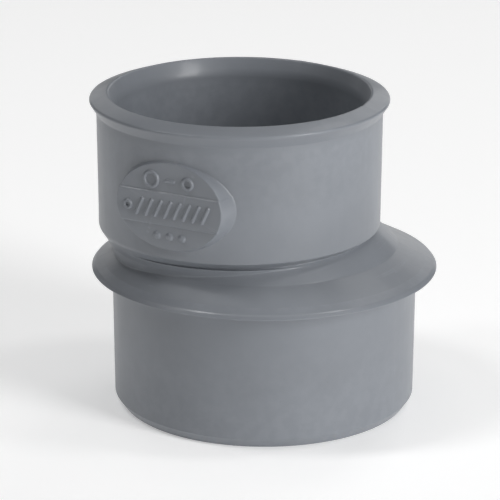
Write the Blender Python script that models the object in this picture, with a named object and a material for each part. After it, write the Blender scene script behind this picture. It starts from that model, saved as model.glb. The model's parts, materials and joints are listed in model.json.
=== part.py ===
"""Eccentric reducing coupling for solvent-welded drainage pipe.

A plain spigot (male end) stands on the ground plane and a smaller socket (female end)
opens upwards. The socket's axis is offset sideways from the spigot's axis, so that one
side of the two bores stays almost in line. The real fitting is one plastic moulding. Each
of its functional regions is a closed solid of its own here, split on natural planes with a
small gap: lead-in, spigot wall, collar, reducing shoulder, pipe stop, socket wall, rim and
badge.

Frame: metres, +Z up. The origin is on the spigot's axis at its end face, and the socket's
axis is offset towards -X.
"""
import math

import bmesh
import bpy
from mathutils import Matrix

MM = 0.001
SEGMENTS = 72                 # facets round every turned part
SPLIT_GAP = 0.3               # gap left between two neighbouring regions

# Spigot, about the main axis (all sizes below are in millimetres)
SPIGOT_RADIUS = 19.95         # at mid-length, of the nominal 40 mm pipe size
SPIGOT_DRAFT = 0.08           # the wall is this much wider at the collar, narrower at the end
SPIGOT_BORE_RADIUS = 17.0
SPIGOT_LENGTH = 18.4          # end face to the collar's underside
LEAD_IN_HEIGHT = 1.3
LEAD_IN_INSET = 0.9           # how far the outer chamfer runs in at the end face
BORE_EDGE_CHAMFER = 0.35

# Domed collar, about the main axis: (radius, height) corners of its profile
COLLAR_RADIUS = 22.7
COLLAR_RIM = ((22.7, 18.48), (22.35, 18.97))                  # upright edge, then bevel
DOME_LINE = ((22.35, 18.97), (17.6, 21.42), (14.77, 23.95))   # from the rim up to the neck
SHOULDER_RADIUS = SPIGOT_RADIUS + SPIGOT_DRAFT

# Eccentric socket, about the offset axis
ECCENTRICITY = 3.24
SOCKET_BORE_RADIUS = 16.15    # takes a 32 mm pipe with room for the cement
SOCKET_BOTTOM = 24.25
SOCKET_BOTTOM_RADIUS = 18.47
SOCKET_TOP_RADIUS = 18.61
SOCKET_EDGE_CHAMFER = 0.3
FLARE_BOTTOM = 39.6
LIP_RADIUS = 19.53
LIP_HEIGHT = 41.2             # top of the lip's upright edge
LIP_EDGE_HEIGHT = 0.1
OVERALL_HEIGHT = 42.0
MOUTH_RADIUS = 17.1
LEAD_CONE_BOTTOM = 40.1
RIM_SPLIT = 38.6

# Neck between collar and socket, about the offset axis
NECK_FOOT_RADIUS = 16.4
NECK_FOOT_HEIGHT = 20.3
NECK_TOP_RADIUS = 17.45
NECK_TOP = 23.25
NECK_CORNER = 0.15
UNDERCUT_RISE = 0.98          # height of the slanted face from the neck out to the socket

# Pipe stop inside the socket
STOP_BORE_RADIUS = 13.2
STOP_TOP = 25.3
FUNNEL_TOP = 23.5

# Oval badge on the socket's side: flat, on a plane of its own
BADGE_TURN = math.radians(28.0)   # from -Y round towards -X
BADGE_HEIGHT = 31.4
BADGE_RIGHT = 0.25                # the oval's middle, along its face from the turned plane's
BADGE_HALF_WIDTH = 7.6
BADGE_HALF_HEIGHT = 5.75
BADGE_FACE = 18.95                # socket axis to the flat face
BADGE_DRAFT = math.radians(13.0)
BADGE_SEGMENTS = 56
BADGE_ROOT = 15.5                 # where the tapered oval starts, inside the socket wall
BADGE_BACK_RADIUS = 17.9
BAND_TOP = 1.8                    # raised middle band, from the badge's centre line
BAND_BOTTOM = -2.45
BAND_RAISE = 0.2
MARK_RAISE = 0.25
MARK_ROOT = 0.35                  # how far a raised mark starts below its face
MARK_SEGMENTS = 20
STROKE_WIDTH = 0.4
UPPER_ROW = 3.35                  # large ring, dash and small ring: large bore to small bore
LARGE_RING_RIGHT = -2.3
LARGE_RING_RADIUS = 1.15
SMALL_RING_RIGHT = 2.9
SMALL_RING_RADIUS = 0.85
DASH_RIGHT = 0.4
DASH_HALF_LENGTH = 0.75
END_RING_RIGHT = -5.6             # small ring at the left end of the band
END_RING_RADIUS = 0.65
BAR_COUNT = 8                     # slanted bars along the rest of the band
BAR_SPACING = 1.35
BAR_WIDTH = 0.45
BAR_HALF_HEIGHT = 1.1
BAR_LEAN = 0.5
BAR_ROW_RIGHT = 0.8               # middle of the row of bars
LOWER_ROW = -3.9
LOWER_ROW_RIGHT = 0.3
STUD_COUNT = 3
STUD_SPACING = 1.8
STUD_RADIUS = 0.48

PVC_COLOUR = (0.204, 0.219, 0.243, 1.0)
PVC_ROUGHNESS = 0.42


def clear_scene():
    for scene_object in list(bpy.data.objects):
        bpy.data.objects.remove(scene_object, do_unlink=True)


def pvc_material(name):
    material = bpy.data.materials.new(name + "_pvc")
    material.use_nodes = True
    shader = material.node_tree.nodes["Principled BSDF"]
    shader.inputs["Base Color"].default_value = PVC_COLOUR
    shader.inputs["Roughness"].default_value = PVC_ROUGHNESS
    shader.inputs["Metallic"].default_value = 0.0
    return material


def finish_mesh(mesh_builder, name, axis_x=0.0):
    """Turn a bmesh in millimetres into an object whose origin is on its own axis."""
    bmesh.ops.recalc_face_normals(mesh_builder, faces=mesh_builder.faces[:])
    bmesh.ops.scale(mesh_builder, vec=(MM, MM, MM), verts=mesh_builder.verts[:])
    mesh = bpy.data.meshes.new(name)
    mesh_builder.to_mesh(mesh)
    mesh_builder.free()
    mesh.shade_smooth()
    mesh.set_sharp_from_angle(angle=math.radians(30.0))
    new_object = bpy.data.objects.new(name, mesh)
    new_object.location = (axis_x * MM, 0.0, 0.0)
    bpy.context.scene.collection.objects.link(new_object)
    return new_object


def turned(name, outline, axis_x=0.0):
    """Spin a closed outline of (radius, height) points round an upright axis."""
    mesh_builder = bmesh.new()
    corners = [mesh_builder.verts.new((radius, 0.0, height)) for radius, height in outline]
    sides = [
        mesh_builder.edges.new((corner, following))
        for corner, following in zip(corners, corners[1:] + corners[:1])
    ]
    bmesh.ops.spin(
        mesh_builder,
        geom=corners + sides,
        cent=(0.0, 0.0, 0.0),
        axis=(0.0, 0.0, 1.0),
        angle=2.0 * math.pi,
        steps=SEGMENTS,
        use_merge=True,
    )
    return finish_mesh(mesh_builder, name, axis_x)


def lofted(name, rings, axis_x=0.0):
    """Closed solid through a stack of rings, each a list of points of equal count."""
    mesh_builder = bmesh.new()
    layers = [[mesh_builder.verts.new(point) for point in ring] for ring in rings]
    for lower, upper in zip(layers, layers[1:]):
        for index, corner in enumerate(lower):
            following = (index + 1) % len(lower)
            mesh_builder.faces.new((corner, lower[following], upper[following], upper[index]))
    mesh_builder.faces.new(layers[0][::-1])
    mesh_builder.faces.new(layers[-1])
    return finish_mesh(mesh_builder, name, axis_x)


def circle(radius, height, centre_x=0.0, count=SEGMENTS):
    angles = [2.0 * math.pi * step / count for step in range(count)]
    return [
        (centre_x + radius * math.cos(angle), radius * math.sin(angle), height)
        for angle in angles
    ]


def hide_as_tool(tool):
    tool.hide_render = True
    tool.display_type = "WIRE"


def combine(target, tool, operation):
    modifier = target.modifiers.new(operation.lower() + "_" + tool.name, "BOOLEAN")
    modifier.operation = operation
    modifier.solver = "EXACT"
    modifier.object = tool
    hide_as_tool(tool)


def dome_height(radius):
    """Height of the collar's sloping top at a distance from the main axis."""
    for (outer, low), (inner, high) in zip(DOME_LINE, DOME_LINE[1:]):
        if radius >= inner:
            return low + (high - low) * (outer - radius) / (outer - inner)
    raise ValueError("the dome ends before this radius")


def spigot_outer_radius(height):
    share = (height - LEAD_IN_HEIGHT) / (SPIGOT_LENGTH - LEAD_IN_HEIGHT)
    return SPIGOT_RADIUS + SPIGOT_DRAFT * (2.0 * share - 1.0)


def make_spigot_lead_in():
    end_radius = spigot_outer_radius(LEAD_IN_HEIGHT)
    return turned("spigot_lead_in", [
        (SPIGOT_BORE_RADIUS + BORE_EDGE_CHAMFER, 0.0),
        (end_radius - LEAD_IN_INSET, 0.0),
        (end_radius, LEAD_IN_HEIGHT),
        (SPIGOT_BORE_RADIUS, LEAD_IN_HEIGHT),
        (SPIGOT_BORE_RADIUS, BORE_EDGE_CHAMFER),
    ])


def make_spigot_wall():
    bottom = LEAD_IN_HEIGHT + SPLIT_GAP
    top = SPIGOT_LENGTH - SPLIT_GAP
    return turned("spigot_wall", [
        (SPIGOT_BORE_RADIUS, bottom),
        (spigot_outer_radius(bottom), bottom),
        (spigot_outer_radius(top), top),
        (SPIGOT_BORE_RADIUS, top),
    ])


def make_flange_collar():
    inner_radius = SHOULDER_RADIUS + SPLIT_GAP
    outline = [(inner_radius, SPIGOT_LENGTH), (COLLAR_RADIUS, SPIGOT_LENGTH)]
    outline += COLLAR_RIM
    outline.append((inner_radius, dome_height(inner_radius)))
    return turned("flange_collar", outline)


def make_reducing_shoulder():
    """Inner dome and neck in one, bored by the eccentric funnel."""
    blank_bore = 5.0          # any hole well inside the funnel
    dome_turn, dome_end = DOME_LINE[1], DOME_LINE[2]
    shoulder = turned("reducing_shoulder", [
        (blank_bore, SPIGOT_LENGTH),
        (SHOULDER_RADIUS, SPIGOT_LENGTH),
        (SHOULDER_RADIUS, dome_height(SHOULDER_RADIUS)),
        dome_turn,
        dome_end,
        (blank_bore, dome_end[1]),
    ])
    neck_start = SPIGOT_LENGTH + SPLIT_GAP
    neck_end = SOCKET_BOTTOM - SPLIT_GAP
    undercut_start = NECK_TOP_RADIUS - NECK_CORNER
    undercut_share = (neck_end - NECK_TOP) / UNDERCUT_RISE
    undercut_end = undercut_start + (SOCKET_BOTTOM_RADIUS - undercut_start) * undercut_share
    neck = turned("neck_blank", [
        (blank_bore, neck_start),
        (NECK_FOOT_RADIUS, neck_start),
        (NECK_FOOT_RADIUS, NECK_FOOT_HEIGHT),
        (NECK_TOP_RADIUS, NECK_TOP - NECK_CORNER),
        (undercut_start, NECK_TOP),
        (undercut_end, neck_end),
        (blank_bore, neck_end),
    ], -ECCENTRICITY)
    overshoot = 1.0
    funnel = lofted("funnel_cutter", [
        circle(SPIGOT_BORE_RADIUS, SPIGOT_LENGTH - overshoot),
        circle(SPIGOT_BORE_RADIUS, SPIGOT_LENGTH),
        circle(STOP_BORE_RADIUS, FUNNEL_TOP, -ECCENTRICITY),
        circle(STOP_BORE_RADIUS, SOCKET_BOTTOM + overshoot, -ECCENTRICITY),
    ])
    combine(shoulder, neck, "UNION")
    combine(shoulder, funnel, "DIFFERENCE")
    return shoulder


def make_pipe_stop():
    outer_radius = SOCKET_BORE_RADIUS - SPLIT_GAP
    return turned("pipe_stop", [
        (STOP_BORE_RADIUS, SOCKET_BOTTOM),
        (outer_radius, SOCKET_BOTTOM),
        (outer_radius, STOP_TOP),
        (STOP_BORE_RADIUS + BORE_EDGE_CHAMFER, STOP_TOP),
        (STOP_BORE_RADIUS, STOP_TOP - BORE_EDGE_CHAMFER),
    ], -ECCENTRICITY)


def socket_outer_radius(height):
    share = (height - SOCKET_BOTTOM) / (FLARE_BOTTOM - SOCKET_BOTTOM)
    return SOCKET_BOTTOM_RADIUS + (SOCKET_TOP_RADIUS - SOCKET_BOTTOM_RADIUS) * share


def badge_matrix():
    """Badge frame: X to the right on the face, Y up, Z straight out of the socket axis."""
    sine = math.sin(BADGE_TURN)
    cosine = math.cos(BADGE_TURN)
    return Matrix((
        (cosine, 0.0, -sine, -ECCENTRICITY * MM),
        (-sine, 0.0, -cosine, 0.0),
        (0.0, 1.0, 0.0, BADGE_HEIGHT * MM),
        (0.0, 0.0, 0.0, 1.0),
    ))


def oval(depth, grow=0.0):
    """Badge outline at a distance from the socket axis, wider towards its root."""
    spread = (BADGE_FACE - depth) * math.tan(BADGE_DRAFT) + grow
    angles = [2.0 * math.pi * step / BADGE_SEGMENTS for step in range(BADGE_SEGMENTS)]
    return [
        (
            BADGE_RIGHT + (BADGE_HALF_WIDTH + spread) * math.cos(angle),
            (BADGE_HALF_HEIGHT + spread) * math.sin(angle),
            depth,
        )
        for angle in angles
    ]


def tapered_oval(name, face_depth, grow=0.0):
    solid = lofted(name, [oval(BADGE_ROOT, grow), oval(face_depth, grow)])
    solid.matrix_world = badge_matrix()
    return solid


def socket_core(name, radius):
    """Upright cylinder on the socket's axis, used to shape the back of the badge."""
    return lofted(
        name,
        [circle(radius, SOCKET_BOTTOM - 1.0), circle(radius, FLARE_BOTTOM + 1.0)],
        -ECCENTRICITY,
    )


def make_socket_wall():
    top = RIM_SPLIT - SPLIT_GAP / 2.0
    edge = SOCKET_BOTTOM + SOCKET_EDGE_CHAMFER
    wall = turned("socket_wall", [
        (SOCKET_BORE_RADIUS, SOCKET_BOTTOM),
        (socket_outer_radius(edge) - SOCKET_EDGE_CHAMFER, SOCKET_BOTTOM),
        (socket_outer_radius(edge), edge),
        (socket_outer_radius(top), top),
        (SOCKET_BORE_RADIUS, top),
    ], -ECCENTRICITY)
    seat = tapered_oval("badge_seat_cutter", BADGE_FACE + 2.0, SPLIT_GAP)
    combine(seat, socket_core("badge_seat_core", BADGE_BACK_RADIUS - SPLIT_GAP), "DIFFERENCE")
    combine(wall, seat, "DIFFERENCE")
    return wall


def make_socket_rim():
    bottom = RIM_SPLIT + SPLIT_GAP / 2.0
    return turned("socket_rim", [
        (SOCKET_BORE_RADIUS, bottom),
        (socket_outer_radius(bottom), bottom),
        (SOCKET_TOP_RADIUS, FLARE_BOTTOM),
        (LIP_RADIUS, LIP_HEIGHT - LIP_EDGE_HEIGHT),
        (LIP_RADIUS, LIP_HEIGHT),
        (MOUTH_RADIUS, OVERALL_HEIGHT),
        (SOCKET_BORE_RADIUS, LEAD_CONE_BOTTOM),
    ], -ECCENTRICITY)


def plate(name, corners, low, high):
    """Prism on the badge face: corners are (right, up), low and high its depths."""
    solid = lofted(name, [
        [(right, up, low) for right, up in corners],
        [(right, up, high) for right, up in corners],
    ])
    solid.matrix_world = badge_matrix()
    return solid


def rectangle(left, right, bottom, top):
    return [(left, bottom), (right, bottom), (right, top), (left, top)]


def disc(centre, radius):
    return [
        (centre[0] + right, centre[1] + up)
        for right, up, _ in circle(radius, 0.0, count=MARK_SEGMENTS)
    ]


def add_mark(badge, name, corners, face):
    """Raise an outline of (right, up) corners a little above a face of the badge."""
    mark = plate(name, corners, face - MARK_ROOT, face + MARK_RAISE)
    combine(badge, mark, "UNION")


def add_ring_mark(badge, name, centre, radius, face):
    """Raised ring, standing for a pipe's round section."""
    ring = plate(name, disc(centre, radius), face - MARK_ROOT, face + MARK_RAISE)
    hole = plate(name + "_hole", disc(centre, radius - STROKE_WIDTH), face, face + 1.0)
    combine(ring, hole, "DIFFERENCE")
    combine(badge, ring, "UNION")


def bar_corners(middle, band_middle):
    """Slanted bar on the band: lower left, lower right, upper right, upper left."""
    low = band_middle - BAR_HALF_HEIGHT
    high = band_middle + BAR_HALF_HEIGHT
    left = middle - BAR_WIDTH / 2.0
    right = middle + BAR_WIDTH / 2.0
    return [
        (left - BAR_LEAN, low),
        (right - BAR_LEAN, low),
        (right + BAR_LEAN, high),
        (left + BAR_LEAN, high),
    ]


def make_badge():
    """Oval pad with a raised middle band and plain relief marks."""
    band_face = BADGE_FACE + BAND_RAISE
    badge = tapered_oval("badge_pad", band_face)
    combine(badge, socket_core("badge_back_cutter", BADGE_BACK_RADIUS), "DIFFERENCE")
    margin = 12.0             # more than the oval's half width
    upper = plate(
        "upper_field_cutter", rectangle(-margin, margin, BAND_TOP, margin),
        BADGE_FACE, BADGE_FACE + 1.0,
    )
    lower = plate(
        "lower_field_cutter", rectangle(-margin, margin, -margin, BAND_BOTTOM),
        BADGE_FACE, BADGE_FACE + 1.0,
    )
    combine(badge, upper, "DIFFERENCE")
    combine(badge, lower, "DIFFERENCE")

    large_centre = (LARGE_RING_RIGHT, UPPER_ROW)
    small_centre = (SMALL_RING_RIGHT, UPPER_ROW)
    add_ring_mark(badge, "large_bore_mark", large_centre, LARGE_RING_RADIUS, BADGE_FACE)
    add_ring_mark(badge, "small_bore_mark", small_centre, SMALL_RING_RADIUS, BADGE_FACE)
    half_stroke = STROKE_WIDTH / 2.0
    dash = rectangle(
        DASH_RIGHT - DASH_HALF_LENGTH, DASH_RIGHT + DASH_HALF_LENGTH,
        UPPER_ROW - half_stroke, UPPER_ROW + half_stroke,
    )
    add_mark(badge, "dash_mark", dash, BADGE_FACE)

    band_middle = (BAND_TOP + BAND_BOTTOM) / 2.0
    end_centre = (END_RING_RIGHT, band_middle)
    add_ring_mark(badge, "band_end_mark", end_centre, END_RING_RADIUS, band_face)
    for index in range(BAR_COUNT):
        middle = BAR_ROW_RIGHT + (index - (BAR_COUNT - 1) / 2.0) * BAR_SPACING
        add_mark(badge, f"slanted_bar_{index + 1}", bar_corners(middle, band_middle), band_face)

    for index in range(STUD_COUNT):
        right = LOWER_ROW_RIGHT + (index - (STUD_COUNT - 1) / 2.0) * STUD_SPACING
        stud = disc((right, LOWER_ROW), STUD_RADIUS)
        add_mark(badge, f"stud_{index + 1}", stud, BADGE_FACE)
    return badge


def main():
    clear_scene()
    regions = [
        make_spigot_lead_in(),
        make_spigot_wall(),
        make_flange_collar(),
        make_reducing_shoulder(),
        make_pipe_stop(),
        make_socket_wall(),
        make_socket_rim(),
        make_badge(),
    ]
    for region in regions:
        region.data.materials.append(pvc_material(region.name))


main()
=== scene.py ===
"""Looks of the eccentric reducing coupling: one grey PVC moulding, seen as in its photograph.

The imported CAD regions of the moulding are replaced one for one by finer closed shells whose
edges are rounded and whose faces meet without a gap, so that together they show as one
seamless moulding. The shells that go right round the fitting share one set of columns,
spread round the socket's axis, so that their edges line up. A ring of such a shell is a
function that gives the radius at an angle round that axis, and a height.

Lengths are in millimetres until a mesh is made, in the frame of the CAD part: origin on the
spigot's axis at its end face, +Z towards the socket, socket offset towards -X.
"""
import json
import math

import bmesh
import bpy
from mathutils import Matrix, Vector


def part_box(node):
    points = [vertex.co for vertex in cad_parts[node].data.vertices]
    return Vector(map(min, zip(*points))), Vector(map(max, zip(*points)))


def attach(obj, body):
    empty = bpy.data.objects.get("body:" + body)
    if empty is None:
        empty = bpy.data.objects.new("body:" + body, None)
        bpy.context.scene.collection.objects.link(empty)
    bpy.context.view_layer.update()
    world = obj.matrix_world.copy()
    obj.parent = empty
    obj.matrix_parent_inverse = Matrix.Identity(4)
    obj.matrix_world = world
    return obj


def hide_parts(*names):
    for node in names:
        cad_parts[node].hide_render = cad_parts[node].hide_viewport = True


MM = 0.001
COLUMNS = 360                 # vertices round every ring of those shells

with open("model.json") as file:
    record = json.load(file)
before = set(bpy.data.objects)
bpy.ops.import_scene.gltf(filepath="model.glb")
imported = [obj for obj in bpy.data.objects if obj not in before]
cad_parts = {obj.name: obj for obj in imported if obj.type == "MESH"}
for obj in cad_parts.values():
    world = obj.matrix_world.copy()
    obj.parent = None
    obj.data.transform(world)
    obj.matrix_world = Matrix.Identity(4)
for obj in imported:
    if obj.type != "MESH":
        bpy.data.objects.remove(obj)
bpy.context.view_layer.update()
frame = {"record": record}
pvc_record = frame["record"]["materials"][0]


def box_mm(node):
    """Lowest and highest corners of a CAD region, in millimetres."""
    low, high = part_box(node)
    return low / MM, high / MM


# Driving sizes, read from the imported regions
_, lead_in_high = box_mm("spigot_lead_in")
_, spigot_high = box_mm("spigot_wall")
collar_low, collar_high = box_mm("flange_collar")
_, stop_high = box_mm("pipe_stop")
wall_low, wall_high = box_mm("socket_wall")
rim_low, rim_high = box_mm("socket_rim")
badge_low, badge_high = box_mm("badge_pad")

ECCENTRICITY = -(rim_low.x + rim_high.x) / 2.0
OVERALL_HEIGHT = rim_high.z
SPIGOT_END_RADIUS = lead_in_high.x
SPIGOT_TOP_RADIUS = spigot_high.x
SPIGOT_LENGTH = collar_low.z
LEAD_IN_HEIGHT = lead_in_high.z
COLLAR_RADIUS = collar_high.x
SOCKET_BOTTOM = wall_low.z
SOCKET_RADIUS = (wall_high.x - wall_low.x) / 2.0
LIP_RADIUS = (rim_high.x - rim_low.x) / 2.0
STOP_TOP = stop_high.z

# Spigot
SPIGOT_BORE_RADIUS = 17.0
LEAD_IN_INSET = 0.9
BORE_EDGE_CHAMFER = 0.35
SPIGOT_ROOT_FILLET = 0.2      # where the spigot meets the collar's underside
COLLAR_INNER_RADIUS = SPIGOT_TOP_RADIUS + SPIGOT_ROOT_FILLET

# Collar and dome, about the spigot's axis
RIM_CORNER = (22.24, 19.03)   # radius and height where the bevelled rim meets the dome
RIM_BEVEL = ((22.7, 18.54), (22.42, 18.88))   # from the rim's upright edge to the dome
DOME_TURN = (17.6, 21.42)     # the dome steepens from here towards the neck
DOME_TURN_ROUNDING = 1.0
DOME_TOP = (14.6, 24.1)
SWELL_CURVE = 1.15            # how late the dome's swell towards the neck comes
DOME_SPLIT_RADIUS = 21.2      # collar shell outside, shoulder shell inside

# Neck and groove under the socket, about the socket's axis
NECK_FOOT_RADIUS = 16.1
NECK_TOP_RADIUS = 17.45
NECK_TOP = 23.25
GROOVE_RADIUS = 16.9          # from here the undercut slants out to the socket's wall
NECK_CREASE = 0.14            # reach of the crease between neck and dome
CREASE_HEIGHT = 22.55         # of that crease, on the two flanks of the offset
CREASE_RISE = 1.75            # how much higher it is at +X, and lower at -X
CREASE_SAG = 0.45             # how much lower it is at both +X and -X
GROOVE_OPEN = 84.0            # degrees from the socket's far side (-X) to the full groove
GROOVE_CLOSED = 32.0          # inside this angle the wall runs smoothly into the neck

# Socket
SOCKET_BORE_RADIUS = 16.15
SOCKET_DRAFT = 0.14           # the wall is this much narrower at its bottom
SOCKET_BOTTOM_ROUNDING = 0.18
SMOOTH_WALL_END = 26.8        # top of the stretch that differs on the far side
RIM_SPLIT = 38.6
FLARE_BOTTOM = 39.6
LIP_HEIGHT = 41.2
LIP_ROUNDING = 0.3
MOUTH_RADIUS = 17.1
MOUTH_ROUNDING = 0.3
LEAD_CONE_BOTTOM = 40.1
# nicks in the mouth's edge: (degrees from +X, depth)
MOUTH_NICKS = ((-55.0, 0.1), (-24.0, 0.13), (-96.0, 0.05), (157.0, 0.14), (62.0, 0.08))
NICK_HALF_WIDTH = 1.1         # degrees
STOP_BORE_RADIUS = 13.2
FUNNEL_TOP = 23.5

# Badge
BADGE_TURN = math.radians(28.0)
BADGE_HEIGHT = (badge_low.z + badge_high.z) / 2.0
BADGE_RIGHT = 0.25            # the oval's middle on the face, from the turned plane's
BADGE_HALF_WIDTH = 7.6
BADGE_HALF_HEIGHT = 5.75
BADGE_FACE = 18.95            # socket axis to the flat face
BADGE_DRAFT = math.radians(13.0)
BADGE_EDGE_ROUNDING = 0.17
BADGE_BLEND = 0.5             # reach of the soft crease between badge and wall
BADGE_COLUMNS = 288
BAND_TOP = 1.8
BAND_BOTTOM = -2.45
BAND_RAISE = 0.2
BAND_SLOPE_WIDTH = 0.24
MARK_RAISE = 0.25
STROKE_HALF_WIDTH = 0.2
UPPER_ROW = 3.35              # large ring, dash and small ring; radii to the stroke's middle
LARGE_RING_RIGHT = -2.3
LARGE_RING_RADIUS = 0.95
DASH_LEFT_END = -0.15
DASH_RIGHT_END = 0.95
SMALL_RING_RIGHT = 2.9
SMALL_RING_RADIUS = 0.65
END_RING_RIGHT = -5.6         # ring at the left end of the band
END_RING_RADIUS = 0.45
BAND_MIDDLE = (BAND_TOP + BAND_BOTTOM) / 2.0
BAR_COUNT = 8
BAR_SPACING = 1.35
BAR_ROW_RIGHT = 0.8
BAR_HALF_WIDTH = 0.22
BAR_HALF_HEIGHT = 0.95        # to the middle of the bar's round ends
BAR_LEAN = 0.45
LOWER_ROW = -3.9
LOWER_ROW_RIGHT = 0.3
STUD_COUNT = 3
STUD_SPACING = 1.8
STUD_RADIUS = 0.44
STUD_STRETCH = 0.02           # a stud is a very short stroke, this far each way


# ---------------------------------------------------------------- outlines and rings

def rounded(corners, steps=5):
    """Outline through (x, y, rounding radius) corners, each turned into an arc."""
    outline = []
    for index, (x, y, radius) in enumerate(corners):
        corner = Vector((x, y))
        if radius == 0.0:
            outline.append(corner)
            continue
        before = (Vector(corners[index - 1][:2]) - corner).normalized()
        after = (Vector(corners[index + 1][:2]) - corner).normalized()
        half_angle = before.angle(after) / 2.0
        inwards = (before + after).normalized()
        centre = corner + inwards * radius / math.sin(half_angle)
        trim = radius / math.tan(half_angle)
        first = (corner + before * trim - centre).normalized()
        last = (corner + after * trim - centre).normalized()
        for step in range(steps + 1):
            outline.append(centre + first.slerp(last, step / steps) * radius)
    return outline


def reach(radius, angle):
    """Distance from the socket's axis to a circle round the spigot's axis."""
    across = ECCENTRICITY * math.sin(angle)
    return ECCENTRICITY * math.cos(angle) + math.sqrt(radius * radius - across * across)


def soft_max(first, second, blend):
    """Larger of two values, with a rounded step from one to the other."""
    closeness = max(blend - abs(first - second), 0.0) / blend
    return max(first, second) + closeness * closeness * blend / 4.0


def soft_min(first, second, blend):
    return -soft_max(-first, -second, blend)


def round_socket(outline):
    """Rings round the socket's axis, one for each (radius, height)."""
    return [(lambda angle, r=radius: r, height) for radius, height in outline]


def round_spigot(outline):
    """Rings round the spigot's axis, one for each (radius, height)."""
    return [(lambda angle, r=radius: reach(r, angle), height) for radius, height in outline]


def column_angles():
    return [2.0 * math.pi * column / COLUMNS for column in range(COLUMNS)]


def ease(share):
    """Smooth step from 0 to 1, level at both ends."""
    share = min(max(share, 0.0), 1.0)
    return share * share * (3.0 - 2.0 * share)


def radius_on(line, height):
    """Radius of a rising outline at a height."""
    for lower, upper in zip(line, line[1:]):
        if height <= upper.y:
            share = (height - lower.y) / (upper.y - lower.y)
            return lower.x + (upper.x - lower.x) * share
    return line[-1].x


def socket_radius(height):
    """Radius of the socket's drafted outer wall at a height."""
    share = (height - SOCKET_BOTTOM) / (FLARE_BOTTOM - SOCKET_BOTTOM)
    return SOCKET_RADIUS - SOCKET_DRAFT * (1.0 - share)


def dome_height(radius):
    """Height of the dome's straight outer stretch at a radius."""
    slope = (DOME_TURN[1] - RIM_CORNER[1]) / (RIM_CORNER[0] - DOME_TURN[0])
    return RIM_CORNER[1] + (RIM_CORNER[0] - radius) * slope


DOME_LINE = rounded([
    (*RIM_CORNER, 0.0),
    (*DOME_TURN, DOME_TURN_ROUNDING),
    (*DOME_TOP, 0.0),
], steps=12)
DOME_SPLIT_HEIGHT = dome_height(DOME_SPLIT_RADIUS)

# from the neck straight into the socket's wall, with no groove between them
SMOOTH_LINE = rounded([
    (NECK_FOOT_RADIUS, RIM_CORNER[1], 0.0),
    (17.15, 22.3, 2.0),
    (18.5, 24.35, 1.2),
    (socket_radius(SMOOTH_WALL_END), SMOOTH_WALL_END, 0.0),
], steps=12)


def groove_share(angle):
    """How far the groove is open at an angle: 0 at the socket's far side (-X), then up to 1."""
    from_far_side = abs(math.degrees(angle) - 180.0)
    return ease((from_far_side - GROOVE_CLOSED) / (GROOVE_OPEN - GROOVE_CLOSED))


def grooved(radius, height, angle):
    """Radius of the grooved outline, moved to the smooth one on the socket's far side."""
    smooth_radius = radius_on(SMOOTH_LINE, height)
    return smooth_radius + (radius - smooth_radius) * groove_share(angle)


def groove_ring(radius, height):
    """Ring of the wall next to the groove."""
    return lambda angle: grooved(radius, height, angle), height


# ---------------------------------------------------------------- meshes

def finish_shell(builder, name):
    """Turn a bmesh in millimetres into a smooth-shaded object that rides on the part."""
    bmesh.ops.recalc_face_normals(builder, faces=builder.faces[:])
    bmesh.ops.scale(builder, vec=(MM, MM, MM), verts=builder.verts[:])
    mesh = bpy.data.meshes.new(name)
    builder.to_mesh(mesh)
    builder.free()
    mesh.shade_smooth()
    mesh.set_sharp_from_angle(angle=math.radians(32.0))
    shell = bpy.data.objects.new(name, mesh)
    bpy.context.scene.collection.objects.link(shell)
    shell.data.materials.append(pvc)
    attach(shell, "root")
    return shell


def join_rows(builder, row, following):
    """Band of faces between two closed rows of vertices."""
    for index, corner in enumerate(row):
        after = (index + 1) % len(row)
        builder.faces.new((corner, row[after], following[after], following[index]))


def ring_shell(name, rings, node):
    """Closed shell through a loop of rings, standing for one region of the CAD part."""
    builder = bmesh.new()
    rows = [
        [
            builder.verts.new((
                radius_at(angle) * math.cos(angle) - ECCENTRICITY,
                radius_at(angle) * math.sin(angle),
                height,
            ))
            for angle in column_angles()
        ]
        for radius_at, height in rings
    ]
    for row, following in zip(rows, rows[1:] + rows[:1]):
        join_rows(builder, row, following)
    shell = finish_shell(builder, name)
    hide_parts(node)


# ---------------------------------------------------------------- regions

def make_lead_in():
    rounding = 0.15
    outline = rounded([
        (SPIGOT_BORE_RADIUS, LEAD_IN_HEIGHT, 0.0),
        (SPIGOT_BORE_RADIUS, BORE_EDGE_CHAMFER, rounding),
        (SPIGOT_BORE_RADIUS + BORE_EDGE_CHAMFER, 0.0, rounding),
        (SPIGOT_END_RADIUS - LEAD_IN_INSET, 0.0, rounding),
        (SPIGOT_END_RADIUS, LEAD_IN_HEIGHT, 0.0),
    ])
    ring_shell("lead_in_shell", round_spigot(outline), "spigot_lead_in")


def make_spigot():
    """Plain wall with a root fillet, whose last corner on the collar only steers the fillet."""
    outline = rounded([
        (SPIGOT_BORE_RADIUS, LEAD_IN_HEIGHT, 0.0),
        (SPIGOT_END_RADIUS, LEAD_IN_HEIGHT, 0.0),
        (SPIGOT_TOP_RADIUS, SPIGOT_LENGTH, SPIGOT_ROOT_FILLET),
        (COLLAR_RADIUS, SPIGOT_LENGTH, 0.0),
    ])[:-1]
    outline.append(Vector((SPIGOT_BORE_RADIUS, SPIGOT_LENGTH)))
    ring_shell("spigot_shell", round_spigot(outline), "spigot_wall")


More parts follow.
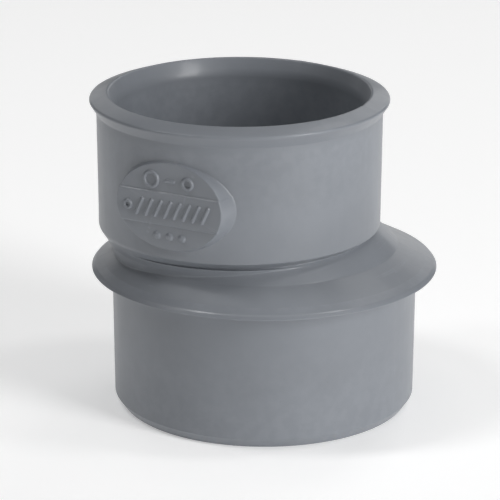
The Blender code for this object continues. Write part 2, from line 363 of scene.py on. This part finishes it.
def make_collar():
    """Rim and the dome's outer stretch, which the shoulder takes over before the turn."""
    outline = rounded([
        (COLLAR_INNER_RADIUS, SPIGOT_LENGTH, 0.0),
        (COLLAR_RADIUS, SPIGOT_LENGTH, 0.1),
        (*RIM_BEVEL[0], 0.03),
        (*RIM_BEVEL[1], 0.1),
        (*RIM_CORNER, 0.1),
        (*DOME_TURN, 0.0),
    ], steps=6)[:-1]
    outline.append(Vector((DOME_SPLIT_RADIUS, DOME_SPLIT_HEIGHT)))
    ring_shell("collar_shell", round_spigot(outline), "flange_collar")


def crease_height(angle):
    """Height at which the swelling dome reaches the neck, round the socket's axis."""
    towards_spigot = math.cos(angle)
    sag = CREASE_SAG * towards_spigot * towards_spigot
    return CREASE_HEIGHT + CREASE_RISE * towards_spigot - sag


def swollen_dome(neck_line, height, angle):
    """Dome's radius, with the swell that lets it meet the neck at the crease's height."""
    crease = crease_height(angle)
    # the neck is measured below its top corner, so that the swell doesn't follow the groove
    neck_height = soft_min(crease, NECK_TOP - 0.1, 0.6)
    neck_radius = grooved(radius_on(neck_line, neck_height), neck_height, angle)
    plain_radius = reach(radius_on(DOME_LINE, crease), angle)
    swell = max(neck_radius - plain_radius, 0.0)
    share = (height - DOME_SPLIT_HEIGHT) / (crease - DOME_SPLIT_HEIGHT)
    return reach(radius_on(DOME_LINE, height), angle) + swell * share ** SWELL_CURVE


def shoulder_ring(neck_line, height):
    """Ring where the dome and the neck meet in a soft crease."""
    neck_radius = radius_on(neck_line, height)

    def radius_at(angle):
        dome_radius = swollen_dome(neck_line, height, angle)
        return soft_max(dome_radius, grooved(neck_radius, height, angle), NECK_CREASE)
    return radius_at, height


def make_shoulder():
    """Dome and neck outside, eccentric funnel inside."""
    neck_line = rounded([
        (NECK_FOOT_RADIUS, RIM_CORNER[1], 0.0),
        (NECK_FOOT_RADIUS + 0.2, 20.6, 1.0),
        (17.2, 22.6, 1.5),
        (NECK_TOP_RADIUS, NECK_TOP - 0.05, 0.06),
        (GROOVE_RADIUS, NECK_TOP, 0.06),
        (socket_radius(SOCKET_BOTTOM) - SOCKET_BOTTOM_ROUNDING, SOCKET_BOTTOM, 0.0),
    ], steps=4)
    row_count = 100
    heights = [
        DOME_SPLIT_HEIGHT + (SOCKET_BOTTOM - DOME_SPLIT_HEIGHT) * row / row_count
        for row in range(row_count + 1)
    ]
    heights += [corner.y for corner in neck_line[1:-1] if corner.y > DOME_SPLIT_HEIGHT]
    rings = [shoulder_ring(neck_line, height) for height in sorted(heights)]
    rings += round_socket([
        (STOP_BORE_RADIUS, SOCKET_BOTTOM),
        (STOP_BORE_RADIUS, FUNNEL_TOP),
    ])
    rings += round_spigot([
        (SPIGOT_BORE_RADIUS, SPIGOT_LENGTH),
        (COLLAR_INNER_RADIUS, SPIGOT_LENGTH),
    ])
    ring_shell("shoulder_shell", rings, "reducing_shoulder")


def make_pipe_stop():
    outline = rounded([
        (SOCKET_BORE_RADIUS, SOCKET_BOTTOM, 0.0),
        (SOCKET_BORE_RADIUS, STOP_TOP, 0.0),
        (STOP_BORE_RADIUS, STOP_TOP, 0.35),
        (STOP_BORE_RADIUS, SOCKET_BOTTOM, 0.0),
    ])
    ring_shell("pipe_stop_shell", round_socket(outline), "pipe_stop")


def make_socket_wall():
    """Plain wall whose lowest stretch runs smoothly into the neck on the far side."""
    edge = rounded([
        (SOCKET_BORE_RADIUS, SOCKET_BOTTOM, 0.0),
        (socket_radius(SOCKET_BOTTOM), SOCKET_BOTTOM, SOCKET_BOTTOM_ROUNDING),
        (socket_radius(RIM_SPLIT), RIM_SPLIT, 0.0),
    ], steps=8)[1:-1]
    rings = round_socket([(SOCKET_BORE_RADIUS, SOCKET_BOTTOM)])
    rings += [groove_ring(radius, height) for radius, height in edge]
    smooth_rows = 16
    for row in range(1, smooth_rows + 1):
        height = edge[-1].y + (SMOOTH_WALL_END - edge[-1].y) * row / smooth_rows
        rings.append(groove_ring(socket_radius(height), height))
    rings += round_socket([
        (socket_radius(RIM_SPLIT), RIM_SPLIT),
        (SOCKET_BORE_RADIUS, RIM_SPLIT),
    ])
    ring_shell("socket_shell", rings, "socket_wall")


def nick_depth(angle):
    """Depth of the small nicks that handling leaves in the mouth's edge."""
    dent = 0.0
    for nick_angle, depth in MOUTH_NICKS:
        apart = (math.degrees(angle) - nick_angle + 180.0) % 360.0 - 180.0
        dent += depth * math.exp(-(apart / NICK_HALF_WIDTH) ** 2)
    return dent


def rim_ring(radius, height):
    """Ring of the rim, with the nicks where it lies on the mouth's rounded edge."""
    near_top = height > OVERALL_HEIGHT - MOUTH_ROUNDING
    near_mouth = radius < MOUTH_RADIUS + MOUTH_ROUNDING
    if near_top and near_mouth:
        return lambda angle: radius + nick_depth(angle), height
    return lambda angle: radius, height


def make_rim():
    """Flared lip and lead-in cone, whose corners stand out by what their rounding takes off."""
    outline = rounded([
        (SOCKET_BORE_RADIUS, RIM_SPLIT, 0.0),
        (socket_radius(RIM_SPLIT), RIM_SPLIT, 0.0),
        (SOCKET_RADIUS, FLARE_BOTTOM, 0.45),
        (LIP_RADIUS + 0.43 * LIP_ROUNDING, LIP_HEIGHT, LIP_ROUNDING),
        (MOUTH_RADIUS, OVERALL_HEIGHT + 0.19 * MOUTH_ROUNDING, MOUTH_ROUNDING),
        (SOCKET_BORE_RADIUS, LEAD_CONE_BOTTOM, 3.0),
        (SOCKET_BORE_RADIUS, RIM_SPLIT, 0.0),
    ], steps=8)[:-1]
    rings = [rim_ring(radius, height) for radius, height in outline]
    ring_shell("rim_shell", rings, "socket_rim")


# ---------------------------------------------------------------- badge

def badge_matrix():
    """Badge frame: X to the right on the face, Y up, Z straight out of the socket axis."""
    sine = math.sin(BADGE_TURN)
    cosine = math.cos(BADGE_TURN)
    return Matrix((
        (cosine, 0.0, -sine, -ECCENTRICITY),
        (-sine, 0.0, -cosine, 0.0),
        (0.0, 1.0, 0.0, BADGE_HEIGHT),
        (0.0, 0.0, 0.0, 1.0),
    ))


def band_rise(up):
    """How far the raised middle band lifts the badge's face at a height on it."""
    half_slope = BAND_SLOPE_WIDTH / 2.0
    below_top = ease((BAND_TOP + half_slope - up) / BAND_SLOPE_WIDTH)
    above_bottom = ease((up - BAND_BOTTOM + half_slope) / BAND_SLOPE_WIDTH)
    return BAND_RAISE * below_top * above_bottom


def wall_depth(right, up):
    """Depth of the socket's outer wall behind a point of the badge's face."""
    radius = socket_radius(BADGE_HEIGHT + up)
    return math.sqrt(radius * radius - right * right)


def oval_point(angle, spread):
    """(right, up) on the badge's oval, made larger all round by a spread."""
    right = BADGE_RIGHT + (BADGE_HALF_WIDTH + spread) * math.cos(angle)
    up = (BADGE_HALF_HEIGHT + spread) * math.sin(angle)
    return right, up


def badge_face_rows(angle):
    """(spread, depth) over the face, from the thin slit in its middle to its rounded edge."""
    innermost = 0.02 - BADGE_HALF_HEIGHT
    outermost = -BADGE_EDGE_ROUNDING
    row_count = 100
    rows = []
    for row in range(row_count + 1):
        spread = innermost + (outermost - innermost) * row / row_count
        _, up = oval_point(angle, spread)
        rows.append((spread, BADGE_FACE + band_rise(up)))
    return rows


def badge_edge_rows(top):
    """(spread, depth) over the rounded edge, from the face's depth to the drafted side."""
    last_turn = math.pi / 2.0 - BADGE_DRAFT
    row_count = 8
    rows = []
    for row in range(1, row_count + 1):
        turn = last_turn * row / row_count
        spread = BADGE_EDGE_ROUNDING * (math.sin(turn) - 1.0)
        rows.append((spread, top - BADGE_EDGE_ROUNDING * (1.0 - math.cos(turn))))
    return rows


def badge_side_rows(angle, edge_spread, edge_depth):
    """(spread, depth) down the drafted side and over the soft crease that joins the wall."""
    fall = 1.0 / math.tan(BADGE_DRAFT)
    # foot of the side on the round wall, by repeated substitution
    foot_spread = edge_spread
    for _ in range(30):
        drop = edge_depth - wall_depth(*oval_point(angle, foot_spread))
        foot_spread = edge_spread + drop / fall
    # the column ends past the foot, by one and a half times the crease's reach
    last_spread = foot_spread + BADGE_BLEND / fall * 1.5
    row_count = 24
    sink = 0.012                  # the last row ends this far under the wall
    rows = []
    for row in range(1, row_count + 1):
        share = row / row_count
        spread = edge_spread + (last_spread - edge_spread) * share
        pad = edge_depth - (spread - edge_spread) * fall
        depth = soft_max(pad, wall_depth(*oval_point(angle, spread)), BADGE_BLEND)
        rows.append((spread, depth - sink * ease(share * 2.0 - 1.0)))
    return rows


def badge_column(angle):
    """(right, up, depth) down one column of the badge, from its middle to its back."""
    rows = badge_face_rows(angle)
    rows += badge_edge_rows(rows[-1][1])
    rows += badge_side_rows(angle, *rows[-1])
    back_gap = 0.5
    for spread, _ in (rows[-1], rows[0]):
        rows.append((spread, wall_depth(*oval_point(angle, spread)) - back_gap))
    return [(*oval_point(angle, spread), depth) for spread, depth in rows]


def close_oval(builder, row):
    """Fill the thin slit that the innermost oval leaves."""
    half = len(row) // 2
    builder.faces.new((row[0], row[1], row[-1]))
    for index in range(1, half - 1):
        builder.faces.new((row[index], row[index + 1], row[-index - 1], row[-index]))
    builder.faces.new((row[half - 1], row[half], row[half + 1]))


def make_badge():
    builder = bmesh.new()
    columns = [
        [builder.verts.new(point) for point in badge_column(2.0 * math.pi * step / BADGE_COLUMNS)]
        for step in range(BADGE_COLUMNS)
    ]
    rows = [list(row) for row in zip(*columns)]
    for row, following in zip(rows, rows[1:]):
        join_rows(builder, row, following)
    close_oval(builder, rows[0])
    close_oval(builder, rows[-1])
    builder.transform(badge_matrix())
    badge = finish_shell(builder, "badge_pad_shell")
    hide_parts("badge_pad")


def mark_profile(half_width):
    """(distance from the stroke's middle, rise) over one side of a soft raised stroke."""
    shape = ((0.0, 1.0), (0.3, 0.99), (0.55, 0.93), (0.75, 0.78), (0.9, 0.52), (1.0, 0.3),
             (1.12, 0.12), (1.3, 0.0), (1.34, -0.25))
    return [(half_width * across, MARK_RAISE * rise) for across, rise in shape]


def add_rows(builder, rows):
    """Make the rows of points into vertices, each row joined to the next."""
    vertex_rows = [[builder.verts.new(point) for point in row] for row in rows]
    for row, following in zip(vertex_rows, vertex_rows[1:]):
        join_rows(builder, row, following)
    return vertex_rows


def add_stroke(builder, start, end, half_width, depth):
    """Raised straight stroke with round ends, on the badge's face at a depth."""
    start, end = Vector(start), Vector(end)
    heading = math.atan2(end.y - start.y, end.x - start.x)
    turns = 10
    quarter = math.pi / 2.0
    narrowest = 0.004             # the top is a thin closed loop and not a line
    rows = []
    for distance, rise in mark_profile(half_width):
        across = max(distance, narrowest)
        row = []
        for middle, first_angle in ((end, heading - quarter), (start, heading + quarter)):
            for step in range(turns + 1):
                angle = first_angle + math.pi * step / turns
                row.append((
                    middle.x + across * math.cos(angle),
                    middle.y + across * math.sin(angle),
                    depth + rise,
                ))
        rows.append(row)
    vertex_rows = add_rows(builder, rows)
    builder.faces.new(vertex_rows[0])
    builder.faces.new(vertex_rows[-1][::-1])


def add_ring(builder, centre, radius, half_width, depth):
    """Raised ring on the badge's face at a depth."""
    outer = mark_profile(half_width)
    outline = [(-across, rise) for across, rise in outer[:0:-1]] + outer
    steps = 48
    rows = []
    for across, rise in outline:
        rows.append([
            (
                centre[0] + (radius + across) * math.cos(2.0 * math.pi * step / steps),
                centre[1] + (radius + across) * math.sin(2.0 * math.pi * step / steps),
                depth + rise,
            )
            for step in range(steps)
        ])
    vertex_rows = add_rows(builder, rows)
    join_rows(builder, vertex_rows[-1], vertex_rows[0])


def make_badge_marks():
    """Plain relief: ring, dash and ring above, ring and bars on the band, studs below."""
    builder = bmesh.new()
    stroke = STROKE_HALF_WIDTH
    left_end = (DASH_LEFT_END, UPPER_ROW)
    right_end = (DASH_RIGHT_END, UPPER_ROW)
    add_ring(builder, (LARGE_RING_RIGHT, UPPER_ROW), LARGE_RING_RADIUS, stroke, BADGE_FACE)
    add_stroke(builder, left_end, right_end, stroke, BADGE_FACE)
    add_ring(builder, (SMALL_RING_RIGHT, UPPER_ROW), SMALL_RING_RADIUS, stroke, BADGE_FACE)

    band_face = BADGE_FACE + BAND_RAISE
    add_ring(builder, (END_RING_RIGHT, BAND_MIDDLE), END_RING_RADIUS, stroke, band_face)
    for index in range(BAR_COUNT):
        middle = BAR_ROW_RIGHT + (index - (BAR_COUNT - 1) / 2.0) * BAR_SPACING
        low = (middle - BAR_LEAN, BAND_MIDDLE - BAR_HALF_HEIGHT)
        high = (middle + BAR_LEAN, BAND_MIDDLE + BAR_HALF_HEIGHT)
        add_stroke(builder, low, high, BAR_HALF_WIDTH, band_face)

    for index in range(STUD_COUNT):
        right = LOWER_ROW_RIGHT + (index - (STUD_COUNT - 1) / 2.0) * STUD_SPACING
        start = (right - STUD_STRETCH, LOWER_ROW)
        end = (right + STUD_STRETCH, LOWER_ROW)
        add_stroke(builder, start, end, STUD_RADIUS, BADGE_FACE)
    builder.transform(badge_matrix())
    finish_shell(builder, "badge_relief")


# ---------------------------------------------------------------- material

COLOUR_A, COLOUR_B, COLOUR_RESULT = 6, 7, 2     # a colour Mix node's sockets


def pvc_material():
    """Satin grey PVC: mottled colour, uneven gloss, fine grain, draw marks and parting line."""
    material = bpy.data.materials.new("grey_pvc")
    material.use_nodes = True
    nodes = material.node_tree.nodes
    links = material.node_tree.links
    shader = nodes["Principled BSDF"]
    shader.inputs["Coat Weight"].default_value = 0.2
    shader.inputs["Coat Roughness"].default_value = 0.15
    place = nodes.new("ShaderNodeTexCoord").outputs["Object"]
    surface = nodes.new("ShaderNodeNewGeometry")

    def noise_field(scale, detail, vector=place):
        field = nodes.new("ShaderNodeTexNoise")
        field.inputs["Scale"].default_value = scale
        field.inputs["Detail"].default_value = detail
        links.new(vector, field.inputs["Vector"])
        return field.outputs["Fac"]

    def remap(source, low, high, to_low, to_high):
        node = nodes.new("ShaderNodeMapRange")
        limits = {"From Min": low, "From Max": high, "To Min": to_low, "To Max": to_high}
        for name, value in limits.items():
            node.inputs[name].default_value = value
        links.new(source, node.inputs["Value"])
        return node.outputs["Result"]

    def arithmetic(operation, *values):
        node = nodes.new("ShaderNodeMath")
        node.operation = operation
        for socket, value in zip(node.inputs, values):
            if isinstance(value, float):
                socket.default_value = value
            else:
                links.new(value, socket)
        return node.outputs["Value"]

    def tinted(colour, share, factor):
        """Mix a colour towards its multiple by a factor where share is 1."""
        node = nodes.new("ShaderNodeMix")
        node.data_type = "RGBA"
        node.blend_type = "MULTIPLY"
        node.inputs[COLOUR_B].default_value = (factor, factor, factor, 1.0)
        links.new(share, node.inputs["Factor"])
        links.new(colour, node.inputs[COLOUR_A])
        return node.outputs[COLOUR_RESULT]

    def bump(height, strength, distance):
        node = nodes.new("ShaderNodeBump")
        node.inputs["Strength"].default_value = strength
        node.inputs["Distance"].default_value = distance
        links.new(height, node.inputs["Height"])
        return node

    # colour: slow mottling, dull dust with painted shade in the hollows, rubbed paler edges, dark
    # specks
    base = pvc_record["base_color"]
    mottling = nodes.new("ShaderNodeValToRGB")
    for element, position, factor in zip(
        mottling.color_ramp.elements, (0.35, 0.65), (0.965, 1.035),
    ):
        element.position = position
        element.color = [channel * factor for channel in base] + [1.0]
    links.new(noise_field(140.0, 4.0), mottling.inputs["Fac"])
    # darker in concave hollows: partly dust, partly painted shade where creases and corners lie
    # in shadow
    hollow_dust_and_shade = remap(surface.outputs["Pointiness"], 0.49, 0.44, 0.0, 1.0)
    edges = remap(surface.outputs["Pointiness"], 0.52, 0.6, 0.0, 1.0)
    worn = arithmetic("MULTIPLY", edges, remap(noise_field(700.0, 4.0), 0.4, 0.6, 0.3, 1.0))
    specks = remap(noise_field(1900.0, 2.0), 0.72, 0.78, 0.0, 0.5)
    colour = tinted(mottling.outputs["Color"], hollow_dust_and_shade, 0.94)
    colour = tinted(colour, worn, 1.12)
    colour = tinted(colour, specks, 0.88)
    links.new(colour, shader.inputs["Base Color"])

    # gloss: fine unevenness, and slightly duller bands drawn along the part
    stretch = nodes.new("ShaderNodeMapping")
    stretch.inputs["Scale"].default_value = (1.0, 1.0, 0.06)
    links.new(place, stretch.inputs["Vector"])
    draw_marks = noise_field(900.0, 3.0, stretch.outputs["Vector"])
    gloss = remap(noise_field(420.0, 5.0), 0.0, 1.0, 0.39, 0.49)
    gloss = arithmetic("ADD", gloss, remap(draw_marks, 0.35, 0.75, 0.0, 0.05))
    gloss = arithmetic("ADD", gloss, arithmetic("MULTIPLY", worn, 0.06))
    links.new(gloss, shader.inputs["Roughness"])

    # relief: the mould's parting line on the outside at +X and -X, draw marks and grain
    axes = nodes.new("ShaderNodeSeparateXYZ")
    links.new(place, axes.inputs["Vector"])
    facing = nodes.new("ShaderNodeSeparateXYZ")
    links.new(surface.outputs["Normal"], facing.inputs["Vector"])
    flank = arithmetic("MULTIPLY", axes.outputs["X"], facing.outputs["X"])
    outside = remap(flank, 0.002, 0.004, 0.0, 1.0)
    aside = arithmetic("ABSOLUTE", axes.outputs["Y"])
    parting = arithmetic("MULTIPLY", remap(aside, 0.00005, 0.00012, 1.0, 0.0), outside)
    relief = arithmetic("ADD", parting, arithmetic("MULTIPLY", draw_marks, 0.12))
    ridges = bump(relief, 0.5, 0.00005)
    grain = bump(noise_field(2600.0, 3.0), 0.10, 0.00004)
    links.new(ridges.outputs["Normal"], grain.inputs["Normal"])
    links.new(grain.outputs["Normal"], shader.inputs["Normal"])
    return material


# ---------------------------------------------------------------- setting

FLOOR_GLOW = 0.32             # the floor's own light, which keeps it nearly white
BOX_DISTANCE = 0.7            # metres from the object to each light


def make_floor():
    builder = bmesh.new()
    bmesh.ops.create_circle(builder, cap_ends=True, segments=96, radius=3.0)
    mesh = bpy.data.meshes.new("floor")
    builder.to_mesh(mesh)
    builder.free()
    floor = bpy.data.objects.new("floor", mesh)
    bpy.context.scene.collection.objects.link(floor)
    material = bpy.data.materials.new("pale_floor")
    material.use_nodes = True
    shader = material.node_tree.nodes["Principled BSDF"]
    shader.inputs["Base Color"].default_value = (0.86, 0.86, 0.86, 1.0)
    shader.inputs["Roughness"].default_value = 0.9
    shader.inputs["Emission Color"].default_value = (1.0, 1.0, 1.0, 1.0)
    shader.inputs["Emission Strength"].default_value = FLOOR_GLOW
    mesh.materials.append(material)


def soft_box(name, azimuth, elevation, width, height, strength):
    """Area light aimed at the object. Azimuth 0 is the camera's side, 90 is +X."""
    turn = math.radians(azimuth)
    rise = math.radians(elevation)
    away = Vector((
        math.sin(turn) * math.cos(rise), -math.cos(turn) * math.cos(rise), math.sin(rise),
    ))
    light = bpy.data.lights.new(name, "AREA")
    light.shape = "RECTANGLE"
    light.size, light.size_y = width, height
    light.energy = strength
    lamp = bpy.data.objects.new(name, light)
    lamp.location = Vector((0.0, 0.0, OVERALL_HEIGHT / 2.0 * MM)) + away * BOX_DISTANCE
    lamp.rotation_mode = "QUATERNION"
    lamp.rotation_quaternion = away.to_track_quat("Z", "Y")
    bpy.context.scene.collection.objects.link(lamp)


def make_lights():
    world = bpy.data.worlds.new("studio")
    world.use_nodes = True
    world.node_tree.nodes["Background"].inputs["Strength"].default_value = 0.0
    bpy.context.scene.world = world

    # tall side boxes give the upright gradients on the walls
    tall = {"width": 0.22, "height": 0.6}
    soft_box("key_right", azimuth=50.0, elevation=15.0, strength=4.45, **tall)
    soft_box("back_right", azimuth=160.0, elevation=14.0, strength=0.53, **tall)
    soft_box("back_left", azimuth=-130.0, elevation=14.0, strength=0.17, **tall)
    soft_box("far_back_left", azimuth=-160.0, elevation=14.0, strength=0.38, **tall)

    # raised boxes give the glints on the collar, the badge and the lip
    small = {"width": 0.1, "height": 0.1}
    soft_box("upper_left", azimuth=-82.0, elevation=67.0, strength=0.65, **small)
    soft_box("left", azimuth=-80.0, elevation=50.0, strength=0.5, **small)
    soft_box("upper_right", azimuth=88.0, elevation=64.5, strength=0.5, **small)
    soft_box("upper_back", azimuth=150.0, elevation=50.0, width=0.2, height=0.2, strength=0.32)
    soft_box("top", azimuth=0.0, elevation=90.0, width=0.45, height=0.45, strength=0.8)


def make_camera():
    """Camera of the photograph, from its angle, distance and focal length."""
    distance = 0.3754
    pitch = math.radians(18.384)
    yaw = math.radians(-0.302)
    roll = math.radians(0.09)
    aim_height = 0.020215
    forward = Vector((
        math.sin(yaw) * math.cos(pitch), math.cos(yaw) * math.cos(pitch), -math.sin(pitch),
    ))
    level = Vector((math.cos(yaw), -math.sin(yaw), 0.0))
    upright = level.cross(forward)
    right = level * math.cos(roll) + upright * math.sin(roll)
    up = right.cross(forward)
    data = bpy.data.cameras.new("photo_camera")
    data.lens = 204.98
    data.sensor_width = 36.0
    data.clip_start, data.clip_end = 0.01, 20.0
    camera = bpy.data.objects.new("photo_camera", data)
    rotation = Matrix((right, up, -forward)).transposed()
    camera.matrix_world = Matrix.LocRotScale(
        (0.0, -distance * math.cos(pitch), aim_height + distance * math.sin(pitch)),
        rotation, None,
    )
    bpy.context.scene.collection.objects.link(camera)
    bpy.context.scene.camera = camera


pvc = pvc_material()
make_lead_in()
make_spigot()
make_collar()
make_shoulder()
make_pipe_stop()
make_socket_wall()
make_rim()
make_badge()
make_badge_marks()
make_floor()
make_lights()
make_camera()
bpy.context.scene.view_settings.view_transform = "Standard"
